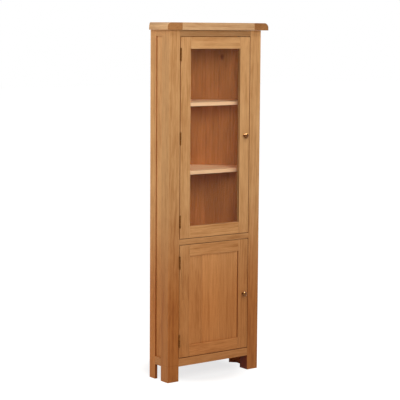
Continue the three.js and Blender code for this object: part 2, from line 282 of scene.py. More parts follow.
# %% Start the oak figure group
def new_group(name, inputs):
    """A node group that gives a surface, with the sockets it reads and the sockets it fills."""
    group = bpy.data.node_groups.new(name, "ShaderNodeTree")
    for label, kind, default in inputs:
        socket = group.interface.new_socket(label, in_out="INPUT", socket_type="NodeSocket" + kind)
        if default is not None:
            socket.default_value = default
    for label, kind in (("Color", "Color"), ("Roughness", "Float"), ("Height", "Float")):
        group.interface.new_socket(label, in_out="OUTPUT", socket_type="NodeSocket" + kind)
    return group, add(group, "NodeGroupInput").outputs, add(group, "NodeGroupOutput").inputs


oak_figure, given, result = new_group(
    "oak figure",
    [
        ("Vector", "Vector", None),
        ("Pale", "Color", (0.6, 0.35, 0.17, 1)),
        ("Middle", "Color", (0.5, 0.26, 0.1, 1)),
        ("Dark", "Color", (0.33, 0.15, 0.05, 1)),
        ("Tone", "Float", 1.0),
        ("End grain", "Float", 0.0),
        ("Arris", "Float", 0.0),
        ("Low painted shade", "Float", 0.0),
        ("Painted shade and joints", "Float", 0.0),
        ("Knot", "Float", 0.0),
    ],
)
print("oak figure reads", [socket.name for socket in given if socket.name])

# %% [markdown]
# ## Rings, streaks and pores
#
# Each pattern is squeezed along the grain, which draws it out, and has its own scale. The rings
# lean and sway a little, as a tree does. The patterns are added up to one value, from 0 for dark
# late wood to 1 for pale early wood. A single pattern would be quicker, but the eye soon finds its
# repeats.

# %% Build the patterns
RING_SQUEEZE, LEAN, SWAY = 0.06, (0.006, 0.016), (0.05, 0.05, 0.0)
RINGS_COUNT, STREAKS_COUNT = 0.25, 1.0
# How far each is squeezed along the grain, its scale, its detail and how much it counts.
DRIFT, PATCHES, FLECKS = (0.06, 11.0, 1.0, 0.7), (0.3, 22.0, 3.0, 0.7), (0.11, 120.0, 3.0, 0.9)
PORE_SQUEEZE, PORES_FROM, PORES_FULL = 0.035, 0.58, 0.72


def calculate_vector(tree, operation, first, second):
    sockets = {0: first, 1: second}
    return add(tree, "ShaderNodeVectorMath", sockets, operation=operation).outputs[0]


def noise(tree, vector, scale, detail=2.0, roughness=0.5):
    sockets = {"Vector": vector, "Scale": scale, "Detail": detail, "Roughness": roughness}
    return add(tree, "ShaderNodeTexNoise", sockets).outputs


def drawn_out(tree, vector, squeeze):
    """Draws a pattern out along the grain, the Z axis, by squeezing the places it is read from."""
    return calculate_vector(tree, "MULTIPLY", vector, (1, 1, squeeze))


def swing(tree, value, strength):
    """Turns a value from 0 to 1 into one that swings about 0."""
    centred = calculate(tree, "SUBTRACT", value, 0.5)
    return calculate(tree, "MULTIPLY", centred, strength)


in_log = given["Vector"]
up_the_log = add(oak_figure, "ShaderNodeSeparateXYZ", {0: in_log}).outputs["Z"]
lean_x, lean_y = (calculate(oak_figure, "MULTIPLY", up_the_log, slope) for slope in LEAN)
lean = add(oak_figure, "ShaderNodeCombineXYZ", {0: lean_x, 1: lean_y}).outputs[0]
long_grain = drawn_out(oak_figure, in_log, RING_SQUEEZE)
wander = noise(oak_figure, long_grain, scale=7.0)["Color"]
sway = calculate_vector(oak_figure, "MULTIPLY", wander, SWAY)
bent = calculate_vector(oak_figure, "ADD", long_grain, sway)
leaning = calculate_vector(oak_figure, "ADD", bent, lean)
rings = add(
    oak_figure,
    "ShaderNodeTexWave",
    {"Vector": leaning, "Scale": 34.0, "Distortion": 6.0, "Detail": 2.0, "Detail Scale": 0.25},
    wave_type="RINGS",
    rings_direction="Z",
    wave_profile="SAW",
).outputs["Fac"]
streaks = noise(oak_figure, bent, scale=48.0, detail=4.0, roughness=0.6)["Fac"]
parts = [swing(oak_figure, rings, RINGS_COUNT), swing(oak_figure, streaks, STREAKS_COUNT)]
for squeeze, scale, detail, count in (DRIFT, PATCHES, FLECKS):
    pattern = noise(oak_figure, drawn_out(oak_figure, in_log, squeeze), scale, detail)["Fac"]
    parts.append(swing(oak_figure, pattern, count))
total = 0.5
for part in parts:
    total = calculate(oak_figure, "ADD", total, part)
figure_value = in_range(oak_figure, total, 0.0, 1.0)
pore_place = drawn_out(oak_figure, in_log, PORE_SQUEEZE)
pore_noise = noise(oak_figure, pore_place, scale=900.0, detail=1.0)["Fac"]
pores = in_range(oak_figure, pore_noise, PORES_FROM, PORES_FULL)
print("patterns added up:", len(parts))

# %% [markdown]
# ## The colour of the figure
#
# The value picks a colour between the dark, middle and pale one that a finish gives. More comes on
# top: end grain drinks up more of the finish and is darker, and an eased arris is paler, partly from
# wear and partly as a painted highlight. Painted shade towards the floor, painted shade in gaps and
# recesses with the dark line of a glued joint, and a knot are tints that multiply the wood's colour.
# Laid on top as flat colour, they would hide the figure.

# %% Colour the figure
# An eased arris is made paler: partly wear, partly a painted highlight.
PORE_DARKNESS, WEAR_AND_HIGHLIGHT_PALENESS = 0.45, 0.6
END_GRAIN_TINT = (0.46, 0.34, 0.23, 1)
# Tints: painted shade towards the floor, painted shade in gaps and recesses with dark joint lines,
# and a knot.
TINTS = {
    "Low painted shade": (0.72, 0.46, 0.25, 1),
    "Painted shade and joints": (0.42, 0.23, 0.12, 1),
    "Knot": (0.4, 0.28, 0.2, 1),
}
FIGURE_HEIGHT, DARK_ROUGHNESS, PALE_ROUGHNESS = 0.35, 0.5, 0.6


def tinted(tree, share, colour, tint):
    """Multiplies a colour by a share of a tint."""
    return mixed(tree, 1.0, colour, mixed(tree, share, WHITE, tint), "MULTIPLY")


lower_half = in_range(oak_figure, figure_value, 0.0, 0.5)
upper_half = in_range(oak_figure, figure_value, 0.5, 1.0)
darker = mixed(oak_figure, lower_half, given["Dark"], given["Middle"])
colour = mixed(oak_figure, upper_half, darker, given["Pale"])
pore_share = calculate(oak_figure, "MULTIPLY", pores, PORE_DARKNESS)
colour = mixed(oak_figure, pore_share, colour, given["Dark"])
colour = tinted(oak_figure, given["End grain"], colour, END_GRAIN_TINT)
wear_and_highlight_share = calculate(oak_figure, "MULTIPLY", given["Arris"], WEAR_AND_HIGHLIGHT_PALENESS)
colour = mixed(oak_figure, wear_and_highlight_share, colour, given["Pale"])
tone = add(oak_figure, "ShaderNodeCombineXYZ", {i: given["Tone"] for i in range(3)}).outputs[0]
colour = mixed(oak_figure, 1.0, colour, tone, "MULTIPLY")
for label, tint in TINTS.items():
    colour = tinted(oak_figure, given[label], colour, tint)
raised = calculate(oak_figure, "MULTIPLY", figure_value, FIGURE_HEIGHT)
height = calculate(oak_figure, "SUBTRACT", raised, pores)
roughness = in_range(oak_figure, figure_value, 0.0, 1.0, DARK_ROUGHNESS, PALE_ROUGHNESS)
oak_figure.links.new(colour, result["Color"])
oak_figure.links.new(roughness, result["Roughness"])
oak_figure.links.new(height, result["Height"])
print("oak figure has", len(oak_figure.nodes), "nodes")

# %% [markdown]
# ## Oak finishes
#
# The cupboard has four finishes of one wood: waxed oak outside; a paler one on the top, which is
# painted light, as the top catches more light from above; a darker, redder one on the boards of the
# back and the faces inside, which is partly painted shade; and the palest on the shelves, which is
# partly painted light, as they catch light from above. Each is made three times, with the grain
# upright, across and from front to back, because a board's grain always runs along its length. What
# differs from board to board, such as its tone, is read from attributes of its mesh.
# Otherwise every board would come out of the same plank.

# %% Make the oak materials
GRAIN_TURN = {"z": (0, 0, 0), "x": (0, math.radians(90), 0), "y": (math.radians(90), 0, 0)}
# Heights in metres where painted shade towards the floor starts and where it is full.
LOW_SHADE_STARTS, LOW_SHADE_FULL = 1.05, 0.32
KNOT_HEART, KNOT_RIM, KNOT_SQUEEZE = 0.003, 0.013, 0.6
JOINT_HALF_WIDTH, JOINT_WAX = 0.0022, 0.35
OAK_COLOURS = {
    "oak": ((221, 172, 121), (206, 155, 104), (174, 118, 69)),
    # Painted light: the top's paler finish, as the top catches more light from above.
    "painted_light_oak": ((230, 188, 144), (217, 173, 129), (188, 139, 95)),
    # Partly painted shade: the darker, redder finish inside the cupboard.
    "inner_oak": ((208, 140, 84), (189, 121, 67), (158, 96, 49)),
    # Partly painted light: the shelves' palest finish, as they catch light from above.
    "shelf_oak": ((250, 212, 172), (244, 202, 162), (226, 178, 136)),
}


def attribute(tree, name, kind="Fac"):
    return add(tree, "ShaderNodeAttribute", attribute_name=name).outputs[kind]


def finish_surface(tree, group, group_inputs, strength, depth, extra):
    """Ends a material in a surface with the colour, roughness and height that a group gives."""
    look = add(tree, "ShaderNodeGroup", group_inputs, node_tree=group).outputs
    sockets = {"Height": look["Height"], "Strength": strength, "Distance": depth}
    relief = add(tree, "ShaderNodeBump", sockets).outputs[0]
    sockets = {"Base Color": look["Color"], "Roughness": look["Roughness"], "Normal": relief}
    surface = add(tree, "ShaderNodeBsdfPrincipled", {**sockets, **extra})
    add(tree, "ShaderNodeOutputMaterial", {"Surface": surface.outputs[0]})


def oak_material(name, grain, pale, middle, dark):
    material, tree = new_material(name)
    place = place_on_object(tree)
    along_grain = add(tree, "ShaderNodeMapping", {"Vector": place, "Rotation": GRAIN_TURN[grain]})
    shift = attribute(tree, "figure", "Vector")
    height = add(tree, "ShaderNodeSeparateXYZ", {0: place}).outputs["Z"]
    # Painted shade: the wood gets darker and redder towards the floor, where less light falls.
    sockets = {0: height, 1: LOW_SHADE_STARTS, 2: LOW_SHADE_FULL}
    lowness = add(tree, "ShaderNodeMapRange", sockets, interpolation_type="SMOOTHSTEP").outputs[0]
    to_knot = calculate_vector(tree, "SUBTRACT", place, attribute(tree, "knot", "Vector"))
    knot_distance = length_of(tree, drawn_out(tree, to_knot, KNOT_SQUEEZE))
    to_joint = calculate(tree, "SUBTRACT", height, attribute(tree, "joint"))
    joint_distance = calculate(tree, "ABSOLUTE", to_joint)
    joint_line = in_range(tree, joint_distance, 0.0, JOINT_HALF_WIDTH, JOINT_WAX, 0.0)
    figure_inputs = {
        "Vector": calculate_vector(tree, "ADD", along_grain.outputs[0], shift),
        "Pale": screen_colour(*pale),
        "Middle": screen_colour(*middle),
        "Dark": screen_colour(*dark),
        "Tone": attribute(tree, "tone"),
        "End grain": attribute(tree, "end_grain"),
        "Arris": attribute(tree, "arris"),
        # Painted shade towards the floor.
        "Low painted shade": calculate(tree, "MULTIPLY", lowness, attribute(tree, "foot")),
        # Painted shade in gaps and recesses, with the dark line of a glued joint.
        "Painted shade and joints": calculate(tree, "MAXIMUM", attribute(tree, "painted_shade"), joint_line),
        "Knot": in_range(tree, knot_distance, KNOT_HEART, KNOT_RIM, 1.0, 0.0),
    }
    wax_film = {"Specular IOR Level": 0.18}
    finish_surface(tree, oak_figure, figure_inputs, strength=0.35, depth=0.0004, extra=wax_film)
    return material


oak_materials = {
    (finish, grain): oak_material(f"{finish} grain {grain}", grain, *colours)
    for finish, colours in OAK_COLOURS.items()
    for grain in "xyz"
}
print("oak materials:", len(oak_materials))

# %% [markdown]
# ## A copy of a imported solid
#
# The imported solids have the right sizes, but they are made of loose triangles. Each wooden piece is
# a copy of its solid, with its triangles merged and its flat faces made whole, so that it has real
# edges to work on. Modelling each board again from a cube would lose the hinge recesses and the
# grooves.

# %% Helpers for copying a solid
MERGE_DISTANCE, FLAT_DEGREES = 0.00002, 0.8


def only(piece):
    bpy.ops.object.select_all(action="DESELECT")
    piece.select_set(True)
    bpy.context.view_layer.objects.active = piece


def copy_of_node(node, name):
    piece = bpy.data.objects.new(name, frame["nodes"][node].data.copy())
    scene.collection.objects.link(piece)
    piece.data.materials.clear()
    only(piece)
    bpy.ops.object.mode_set(mode="EDIT")
    bpy.ops.mesh.select_all(action="SELECT")
    bpy.ops.mesh.remove_doubles(threshold=MERGE_DISTANCE)
    bpy.ops.mesh.dissolve_limited(angle_limit=math.radians(FLAT_DEGREES))
    bpy.ops.mesh.select_all(action="DESELECT")
    bpy.ops.object.mode_set(mode="OBJECT")
    return piece


def body_of_node(node):
    return frame["nodes"][node]["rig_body"]


def stand_in(piece, node):
    """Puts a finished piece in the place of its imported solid."""
    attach(piece, body_of_node(node))
    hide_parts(node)


print("vertices closer than", MERGE_DISTANCE, "metres are merged")

# %% [markdown]
# ## Sanded edges
#
# A imported solid's corners are perfectly sharp, which no sanded board is. Its long edges, and those
# round its ends, are eased with a small bevel, as a maker does with fine paper. Bevelling every
# edge would also round the grooves and recesses that hold other pieces. The eased edges are
# remembered in the attribute `arris`, because they are coloured a little paler, partly as wear and
# partly as a painted highlight.

# %% Helpers for easing edges
ON_FACE, SHARP_DEGREES = 1e-4, 40


def box_faces_through(point, low, high):
    """How many of the three pairs of faces of a box a point lies on."""
    return sum(min(abs(p - a), abs(p - b)) < ON_FACE for p, a, b in zip(point, low, high))


def select_edges_to_ease(mesh, shortest):
    """Selects the long outside corners, and the edges round the ends, of a merged piece."""
    low = Vector(map(min, *(v.co for v in mesh.vertices)))
    high = Vector(map(max, *(v.co for v in mesh.vertices)))
    beside = {}
    for face in mesh.polygons:
        for key in face.edge_keys:
            beside.setdefault(key, []).append(face)
    chosen = 0
    for edge in mesh.edges:
        faces = beside.get(edge.key, [])
        if len(faces) != 2:
            continue
        a, b = (mesh.vertices[i].co for i in edge.vertices)
        one, two = faces
        sharp = one.normal.angle(two.normal) > math.radians(SHARP_DEGREES)
        outside = (two.center - one.center).dot(one.normal) < 0
        at_end = box_faces_through((a + b) / 2, low, high) >= 2
        edge.select = sharp and outside and ((b - a).length > shortest or at_end)
        chosen += edge.select
    return chosen


def mark(mesh, name, values):
    """Gives each face its own value."""
    attribute_made = mesh.attributes.new(name, "FLOAT", "FACE")
    attribute_made.data.foreach_set("value", values)


def is_strip(mesh, face, width):
    """True for a selected face narrower than `width`, as the facets of an eased edge are."""
    ends = [[mesh.vertices[i].co for i in key] for key in face.edge_keys]
    half_way_round = sum((b - a).length for a, b in ends) / 2
    return face.select and face.area < width * half_way_round


def ease_edges(piece, width, segments=3, shortest=0.1, wear_and_highlight=1.0):
    only(piece)
    bpy.ops.object.mode_set(mode="EDIT")
    bpy.ops.mesh.select_mode(type="EDGE")
    bpy.ops.mesh.select_all(action="DESELECT")
    bpy.ops.object.mode_set(mode="OBJECT")
    mesh = piece.data
    chosen = select_edges_to_ease(mesh, shortest)
    bpy.ops.object.mode_set(mode="EDIT")
    bpy.ops.mesh.bevel(
        offset=width, segments=segments, profile=0.5, affect="EDGES", clamp_overlap=True
    )
    bpy.ops.object.mode_set(mode="OBJECT")
    # Eased edges are coloured paler: partly wear, partly a painted highlight.
    mark(mesh, "arris", [wear_and_highlight * is_strip(mesh, face, width) for face in mesh.polygons])
    return chosen


def smooth(piece, degrees=40):
    only(piece)
    bpy.ops.object.shade_smooth_by_angle(angle=math.radians(degrees))
    flat_faces = piece.modifiers.new("flat faces stay flat", "WEIGHTED_NORMAL")
    flat_faces.keep_sharp = True
    bpy.ops.object.modifier_apply(modifier=flat_faces.name)


print("edges sharper than", SHARP_DEGREES, "degrees are eased")

# %% [markdown]
# ## What a board remembers
#
# A board's finish and the way of its grain choose its material. Everything else is stored on its
# mesh: its place in the log, its tone, how much shade is painted on it towards the floor, which of
# its faces are end grain, and how much painted shade the faces in a gap or a recess get, where little
# light falls. A knot or a glued joint is a place, and a board without one has it far below the floor.
# All this could be set in a material, but then every board would need its own.

# %% Helpers for dressing a board
random.seed(5)
AXIS = {"x": 0, "y": 1, "z": 2}
FAR_BELOW = -9.0
NOWHERE = (0.0, 0.0, FAR_BELOW)
LOG_REACH = (0.5, 0.5, 9.0)
# How squarely a face must look along a way to count as end grain, as a flat face and as an arris.
AS_END_GRAIN, AS_FLAT_FACE, AS_ARRIS = 0.8, 0.9, 0.5
# The inside of the cupboard, in metres: its middle, the back of its front frame, a wall, the floor.
INSIDE_MIDDLE_Y, BEHIND_FRAME_Y, INSIDE_WALL_X, INSIDE_FLOOR_Z = 0.02, -0.137, 0.276, 0.1


def looks(face, way):
    """How squarely a face looks along a way such as "+x", from -1 to 1."""
    return face.normal[AXIS[way[1]]] * float(way[0] + "1")


def looks_inside(face):
    """True for a face of the carcass that looks into the cupboard from behind its front frame."""
    x, y, z = face.center
    inwards = Vector((-x, INSIDE_MIDDLE_Y - y, 0)).dot(face.normal) > 0
    return inwards and y > BEHIND_FRAME_Y and abs(x) < INSIDE_WALL_X and z > INSIDE_FLOOR_Z


def painted_shade_of_face(face, painted_shade_ways, on_arris):
    """Painted shade on faces in a gap or a recess, where little light falls, and perhaps on their
    arris.
    """
    least = AS_ARRIS if on_arris else AS_FLAT_FACE
    return max((share for way, share in painted_shade_ways.items() if looks(face, way) > least), default=0.0)


def wooden(
    node,
    finish,
    grain,
    tone=1.0,
    foot=0.65,
    ease=0.0012,
    wear_and_highlight=1.0,
    lined=False,
    painted_shade_ways=None,
    painted_shade_on_arris=False,
    knot=NOWHERE,
    joint=FAR_BELOW,
):
    """Dresses a wooden node.

    `foot` is how much shade is painted on its wood near the floor, `wear_and_highlight` how pale its
    eased edges are, partly wear and partly a painted highlight, and `painted_shade_ways` how much
    painted shade the faces that look each way get, in gaps and recesses. A `lined` piece has the
    inner finish, a darker and redder copy of the oak that is partly painted shade, on the faces that
    look into the cupboard.
    """
    piece = copy_of_node(node, node + "_wood")
    eased = ease_edges(piece, ease, wear_and_highlight=wear_and_highlight)
    mesh = piece.data
    faces = mesh.polygons
    mark(mesh, "end_grain", [float(abs(face.normal[AXIS[grain]]) > AS_END_GRAIN) for face in faces])
    # Painted shade on faces in gaps and recesses, where little light falls.
    mark(mesh, "painted_shade", [painted_shade_of_face(face, painted_shade_ways or {}, painted_shade_on_arris) for face in faces])
    # The share of painted shade towards the floor is stored beside the tone and the joint.
    for name, value in (("tone", tone), ("foot", foot), ("joint", joint)):
        mark(mesh, name, [value] * len(faces))
    in_the_log = [random.uniform(-1, 1) * reach for reach in LOG_REACH]
    for name, vector in (("figure", in_the_log), ("knot", list(knot))):
        attribute_made = mesh.attributes.new(name, "FLOAT_VECTOR", "POINT")
        attribute_made.data.foreach_set("vector", vector * len(mesh.vertices))
    mesh.materials.append(oak_materials[finish, grain])
    # Faces that look into the cupboard get the darker, redder inner finish, partly painted shade.
    if lined:
        mesh.materials.append(oak_materials["inner_oak", grain])
        for face in faces:
            face.material_index = int(looks_inside(face))
    smooth(piece)
    stand_in(piece, node)
    print(f"{node}: {eased} edges eased, {len(faces)} faces")
    return mesh


print("a board starts up to", LOG_REACH, "metres from the middle of its log")

# %% [markdown]
# ## Posts, rails and side returns
#
# The posts run from the floor to the underside of the top, and their lower ends are the feet. Rails
# lie between them, and a thin panel fills each side return. Posts and panels have upright grain.
# Rails have it across the front, or from front to back in the side returns. The outer side of a
# front post is painted a little paler, with less painted shade near the floor: painted light, because
# the lamps light that side less than the front. Painted shade lies on the faces in the door gaps and
# on the front ends of the rear posts in the side recesses, where little light falls. The top rail's
# low tone and the painted shade on its front are the painted shadow of the top's overhang. One tone
# for all would be simpler, but on real furniture the tones show where one piece ends and the next
# begins.

# %% Dress the carcass
LEFT_FOOT_JOINT = 0.084
OUTER_SIDE_PAINTED_LIGHT, OUTER_SIDE_LOW_SHADE = 1.08, 0.85
for side, inwards, outwards, tone, foot, joint in (
    ("left", "+x", "-x", 0.92, 1.0, LEFT_FOOT_JOINT),
    ("right", "-x", "+x", 0.97, 0.9, FAR_BELOW),
):
    # Painted shade on the post's face in the door gap.
    painted_shade_ways = {inwards: 1.0}
    post = wooden(
        f"front_{side}_post", "oak", "z", tone, foot, lined=True, painted_shade_ways=painted_shade_ways, joint=joint
    )
    # Painted light: the outer side is paler and has less painted shade low down, as the lamps light
    # it less than the front.
    for face in post.polygons:
        if looks(face, outwards) > AS_FLAT_FACE:
            post.attributes["tone"].data[face.index].value = OUTER_SIDE_PAINTED_LIGHT * tone
            post.attributes["foot"].data[face.index].value = OUTER_SIDE_LOW_SHADE * foot
    # Painted shade on the rear posts' front ends, in the side recesses.
    wooden(f"rear_{side}_post", "oak", "z", tone=1.14, foot=0.9, lined=True, painted_shade_ways={"-y": 0.6})
    wooden(f"{side}_side_panel", "oak", "z", tone=1.15, foot=0.8, lined=True)
    wooden(f"{side}_side_top_rail", "oak", "y", lined=True)
    wooden(f"{side}_side_bottom_rail", "oak", "y", lined=True)
# The top rail's low tone and the painted shade on its front are the painted shadow of the top's
# overhang; the rails' faces in the door gaps get painted shade.
wooden("top_rail", "oak", "x", tone=0.73, painted_shade_ways={"-z": 1.0, "-y": 0.2})
wooden("middle_rail", "oak", "x", tone=0.93, painted_shade_ways={"-z": 1.0, "+z": 0.6})
wooden("bottom_rail", "oak", "x", tone=0.97, painted_shade_ways={"+z": 1.0}, painted_shade_on_arris=True)

# %% [markdown]
# ## Back boards and shelves
#
# The back is matched boards that stand upright, each with its edges bevelled so that a joint shows
# as a fine line. Their tones differ a little, and one has a knot high up. The shelves, and the
# board between the two doors, are pale with the grain across, and send light up to the boards
# behind them. In the flat part of the back a thin line of glue fills the two joints, because
# daylight would show through an open one when the cupboard is looked at straight from behind.

# %% Dress the inside
KNOT = (0.2047, 0.0632, 1.6237)
GLUE_SLACK, GLUE_DEPTH, GLUE_SHORTER = 0.00001, 0.004, 0.002


def middle_of(low, high):
    return [(a + b) / 2 for a, b in zip(low, high)]


def block(name, centre, size):
    bpy.ops.object.select_all(action="DESELECT")
    bpy.ops.mesh.primitive_cube_add(size=1, location=centre, scale=size)
    piece = bpy.context.object
    piece.name = name
    bpy.ops.object.transform_apply(location=True, rotation=True, scale=True)
    return piece


for node, tone in (
    ("back_left_post", 0.9),
    ("back_right_post", 1.03),
    ("back_left_board_1", 0.97),
    ("back_left_board_2", 0.98),
    ("back_right_board_1", 1.02),
    ("back_right_board_2", 1.02),
    ("back_centre_board", 0.97),
):
    knot = KNOT if node.startswith("back_right_board") else NOWHERE
    # The back's darker, redder finish is partly painted shade, and painted shade darkens it a little
    # towards the floor.
    wooden(node, "inner_oak", "z", tone, foot=0.3, ease=0.0006, knot=knot)
wooden("bottom_board", "oak", "x")
wooden("middle_board", "shelf_oak", "x", tone=1.15)
# The shelves' palest finish and high tone are partly painted light, and the painted shade on their
# front edges keeps them as bright as their tops.
for node in ("lower_shelf", "upper_shelf_1", "upper_shelf_2"):
    wooden(node, "shelf_oak", "x", tone=1.18, painted_shade_ways={"-y": 0.17})

board_low, board_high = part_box("back_centre_board")
_, glue_y, glue_z = middle_of(board_low, board_high)
glue_height = board_high.z - board_low.z - GLUE_SHORTER
for side, edge, post_edge in (
    ("left", board_low.x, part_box("back_left_post")[1].x),
    ("right", board_high.x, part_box("back_right_post")[0].x),
):
    centre = ((edge + post_edge) / 2, glue_y, glue_z)
    size = (abs(edge - post_edge) - 2 * GLUE_SLACK, GLUE_DEPTH, glue_height)
    glue_line = block(f"back_{side}_glue_line", centre, size)
    glue_line.data.materials.append(oak_materials["inner_oak", "z"])
    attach(glue_line, body_of_node("back_centre_board"))
print("two joints of the flat back are glued")

# %% [markdown]
# ## The top
#
# The top is one wide board between two end boards whose outer upper edges are rounded over. The end
# boards run from front to back, so their front ends show dark end grain. The round is already in
# the solid, and smoothing by angle is enough to finish it.

# %% Dress the top
TOP_EASE = 0.002
# The paler finish and the end boards' higher tones are painted light: the top, and most of all its
# left end, catches more light from above.
wooden("top_centre_board", "painted_light_oak", "x", tone=0.9, ease=TOP_EASE)
wooden("top_left_end_board", "painted_light_oak", "y", tone=1.2, ease=TOP_EASE)
wooden("top_right_end_board", "painted_light_oak", "y", tone=1.1, ease=TOP_EASE)

# %% [markdown]
# ## Door frames and the panel
#
# Each door is two stiles and two rails. The lower door holds a panel of three matched boards with a
# vee at each joint. The panel is one solid, so its three boards are told apart here by where they
# lie, and each gets its own tone and its own part of the figure. Cutting it into three would open
# gaps that the solid doesn't have. The lower door's left stile is worn: its arris is broader, and
# paler than the others, partly as wear and partly as a painted highlight. Painted shade lies on the
# faces in the gaps round each door and inside its openings, where little light falls.

# %% Dress the doors
FRAME_PARTS = ("left_stile", "right_stile", "top_rail", "bottom_rail")
LEFT_TONE, RIGHT_TONE, TOP_TONE, BOTTOM_TONE = 0.94, 0.99, 0.96, 1.04
EASE, WORN_EASE = 0.0015, 0.0026
# How pale each door's eased edges are is partly wear and partly a painted highlight, strongest on the
# lower door's left stile.
for door, dark, foot, left_ease, wear_and_highlight, rail_tone in (
    ("upper_door", True, 0.65, EASE, 1.0, 1.0),
    ("lower_door", False, 0.75, WORN_EASE, 1.7, 1.07),
):
    left, right, top, bottom = (f"{door}_{part}" for part in FRAME_PARTS)
    top_tone, bottom_tone = TOP_TONE * rail_tone, BOTTOM_TONE * rail_tone
    # Painted shade on the door faces in the gaps and inside the openings.
    painted_shade_ways = {"-x": 1.0}
    wooden(left, "oak", "z", LEFT_TONE, foot, left_ease, wear_and_highlight, painted_shade_ways=painted_shade_ways, painted_shade_on_arris=dark)
    wooden(right, "oak", "z", RIGHT_TONE, foot, EASE, painted_shade_ways={"-x": 0.8, "+x": 1.0})
    wooden(top, "oak", "x", top_tone, foot, EASE, painted_shade_ways={"+z": 1.0}, painted_shade_on_arris=dark)
    wooden(bottom, "oak", "x", bottom_tone, foot, EASE, painted_shade_ways={"-z": 1.0})

BOARDS, BOARD_TONES, BOARD_SHIFTS = 3, (1.02, 1.15, 1.06), (0.0, 0.31, -0.27)
# Painted shade on the panel's right edge, in its recess.
panel = wooden(
    "lower_door_panel", "oak", "z", foot=0.8, ease=0.0008, painted_shade_ways={"+x": 0.8}, painted_shade_on_arris=True
)
panel_low, panel_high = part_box("lower_door_panel")
board_width = (panel_high.x - panel_low.x) / BOARDS


def board_at(x):
    return min(BOARDS - 1, int((x - panel_low.x) / board_width))


for face in panel.polygons:
    panel.attributes["tone"].data[face.index].value = BOARD_TONES[board_at(face.center.x)]
for vertex in panel.vertices:
    panel.attributes["figure"].data[vertex.index].vector[0] += BOARD_SHIFTS[board_at(vertex.co.x)]
print("panel boards have tones", BOARD_TONES)

# %% [markdown]
# ## Glass
#
# The pane is plain clear glass, four millimetres thick. Light goes straight through it to the
# shelves, so shadow rays and soft light see it as transparent. Otherwise the inside would be far
# too dark, because the renderer doesn't bend the lamps' light through glass.

# %% Glaze the upper door
glass, tree = new_material("clear glass")
pane = add(
    tree,
    "ShaderNodeBsdfPrincipled",
    {"Base Color": WHITE, "Roughness": 0.02, "IOR": 1.15, "Transmission Weight": 1.0},
)
through = add(tree, "ShaderNodeBsdfTransparent", {"Color": (0.97, 0.98, 0.975, 1)})
light = add(tree, "ShaderNodeLightPath").outputs
straight = calculate(tree, "MAXIMUM", light["Is Shadow Ray"], light["Is Diffuse Ray"])
both = add(tree, "ShaderNodeMixShader", {0: straight, 1: pane.outputs[0], 2: through.outputs[0]})
add(tree, "ShaderNodeOutputMaterial", {"Surface": both.outputs[0]})
pane_object = frame["nodes"]["upper_door_glass"]
pane_object.data.materials.clear()
pane_object.data.materials.append(glass)
print("glass on", pane_object.name)

# %% [markdown]
# ## Metals and plastic
#
# The knobs are aged brass, the hinges a brown bronze finish, and the catch bars and strike plates
# plain steel. The catches' cases are brown plastic. One group gives all of them the same kind of
# handling: faint cloudy tarnish in the colour and in the roughness. One even colour would look like
# paint.

# %% Build the tarnish group and the metals
CLOUDS_FROM, CLOUDS_FULL = 0.35, 0.7
tarnish, given, result = new_group(
    "tarnish",
    [
        ("Vector", "Vector", None),
        ("Clean", "Color", (0.5, 0.4, 0.2, 1)),
        ("Dull", "Color", (0.2, 0.13, 0.06, 1)),
        ("Smooth", "Float", 0.25),
        ("Rough", "Float", 0.5),
    ],
)
cloud = noise(tarnish, given["Vector"], scale=160.0, detail=4.0, roughness=0.6)["Fac"]
clouded = in_range(tarnish, cloud, CLOUDS_FROM, CLOUDS_FULL)
roughness = in_range(tarnish, clouded, 0.0, 1.0, given["Smooth"], given["Rough"])
tarnish.links.new(mixed(tarnish, clouded, given["Clean"], given["Dull"]), result["Color"])
tarnish.links.new(roughness, result["Roughness"])
tarnish.links.new(cloud, result["Height"])


def metal_material(name, clean, dull, smooth_part, rough_part, metallic, lacquer):
    material, tree = new_material(name)
    tarnish_inputs = {
        "Vector": place_on_object(tree),
        "Clean": screen_colour(*clean),
        "Dull": screen_colour(*dull),
        "Smooth": smooth_part,
        "Rough": rough_part,
    }
    coating = {"Metallic": metallic, "Coat Weight": lacquer}
    finish_surface(tree, tarnish, tarnish_inputs, strength=0.1, depth=0.0002, extra=coating)
    return material


# Slot and name, clean and dull colour, clean and dull roughness, metallic, lacquer.
metals = {
    slot: metal_material(*look)
    for slot, *look in (
        ("aged_brass", "aged brass", (120, 72, 24), (80, 44, 12), 0.1, 0.16, 1.0, 0.35),
        ("bronze", "brown bronze", (138, 90, 44), (98, 60, 28), 0.4, 0.58, 1.0, 0.0),
        ("steel", "plain steel", (176, 175, 170), (120, 118, 112), 0.25, 0.45, 1.0, 0.0),
        ("dark_plastic", "brown plastic", (84, 56, 38), (70, 46, 32), 0.45, 0.6, 0.0, 0.0),
    )
}
print("metals:", sorted(metals))

# %% [markdown]
# ## Knobs
#
# Each door has one small turned knob: a round base, a thin neck and a head like a flattened ball. A
# turner works along a spinning bar, so the knob is made the same way here: a disc is set on the
# door and drawn out step by step, with each step given its own radius.

# %% Turn the knobs
KNOB_SIDES = 48
BASE_STEPS = [(0.0072, 0.0), (0.0079, 0.0004), (0.008, 0.0012), (0.0078, 0.002), (0.0066, 0.0027)]
NECK_STEPS = [(0.0052, 0.0036), (0.0046, 0.0052), (0.0047, 0.0078)]
HEAD_RADIUS, HEAD_HALF_LENGTH, HEAD_DISTANCE = 0.013, 0.0065, 0.0175
HEAD_START_RADIUS, HEAD_LAST_DEGREES, HEAD_STEPS = 0.005, 86, 16


